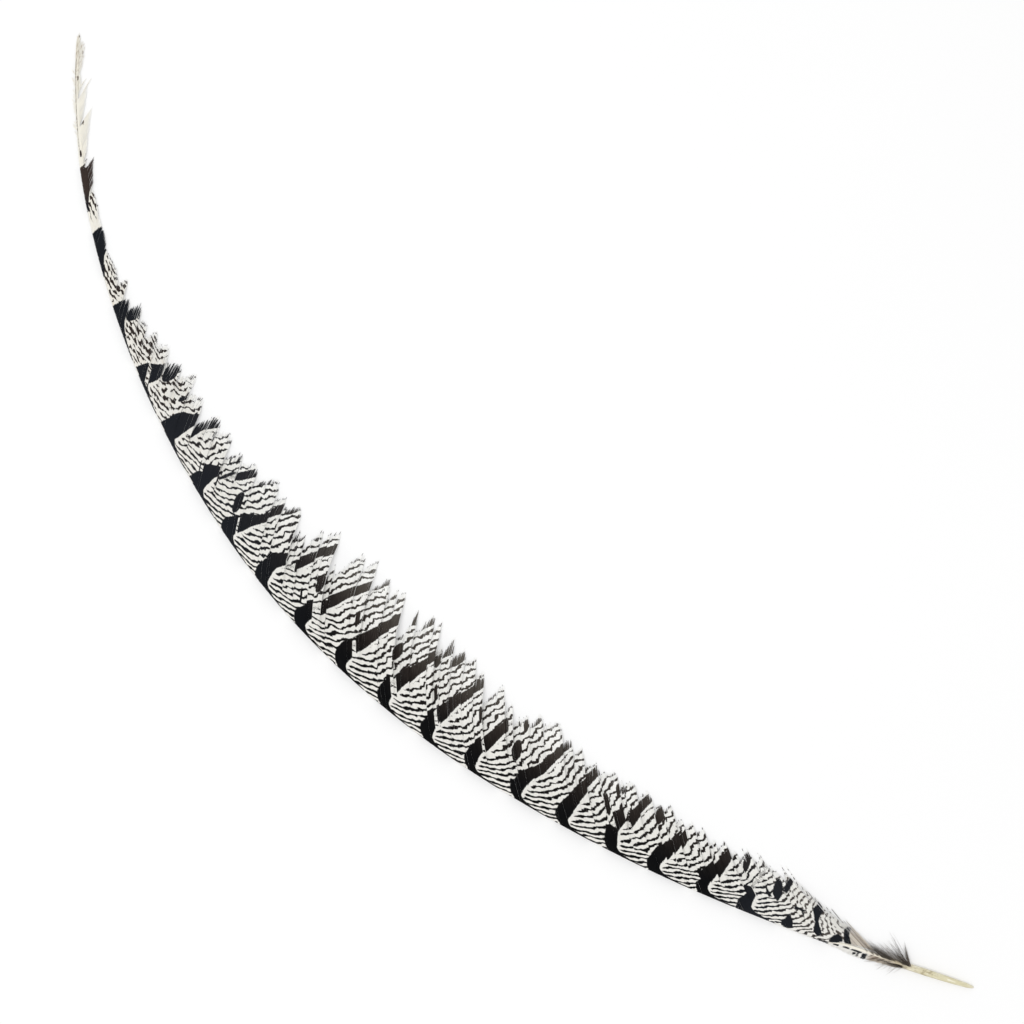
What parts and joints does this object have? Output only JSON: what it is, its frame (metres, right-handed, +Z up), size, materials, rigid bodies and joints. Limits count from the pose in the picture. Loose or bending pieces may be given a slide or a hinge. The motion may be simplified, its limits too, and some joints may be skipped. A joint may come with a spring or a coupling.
{
  "type": "pheasant tail feather",
  "caption": "Long curved tail feather with a bare pale quill, a broad black-and-white barred vane in pointed locks, a narrow curled vane and a tuft of down, lying flat.",
  "frame": {"origin": "centre of the feather's box, at the level of the surface it lies on", "axes": "+X from the quill's end to the tip along the chord, +Z up from the surface, +Y towards the side that the shaft bows to, away from the wide vane"},
  "size_m": [0.6996, 0.1316, 0.008],
  "materials": {
    "quill": "pale straw horn, slightly translucent, satin gloss",
    "barred_vane": "warm white barbs with blue-black cross bars and thin wavy dark lines, soft sheen",
    "dark_narrow_vane": "dark barbs with white stretches between the bars, seen edge-on",
    "grey_down": "soft loose down, brown-grey at the root and paler towards the ends"
  },
  "bodies": {
    "root": {"shaft": "quill", "wide_vane": "barred_vane", "narrow_vane": "dark_narrow_vane", "down_tuft": "grey_down"}
  },
  "joints": []
}
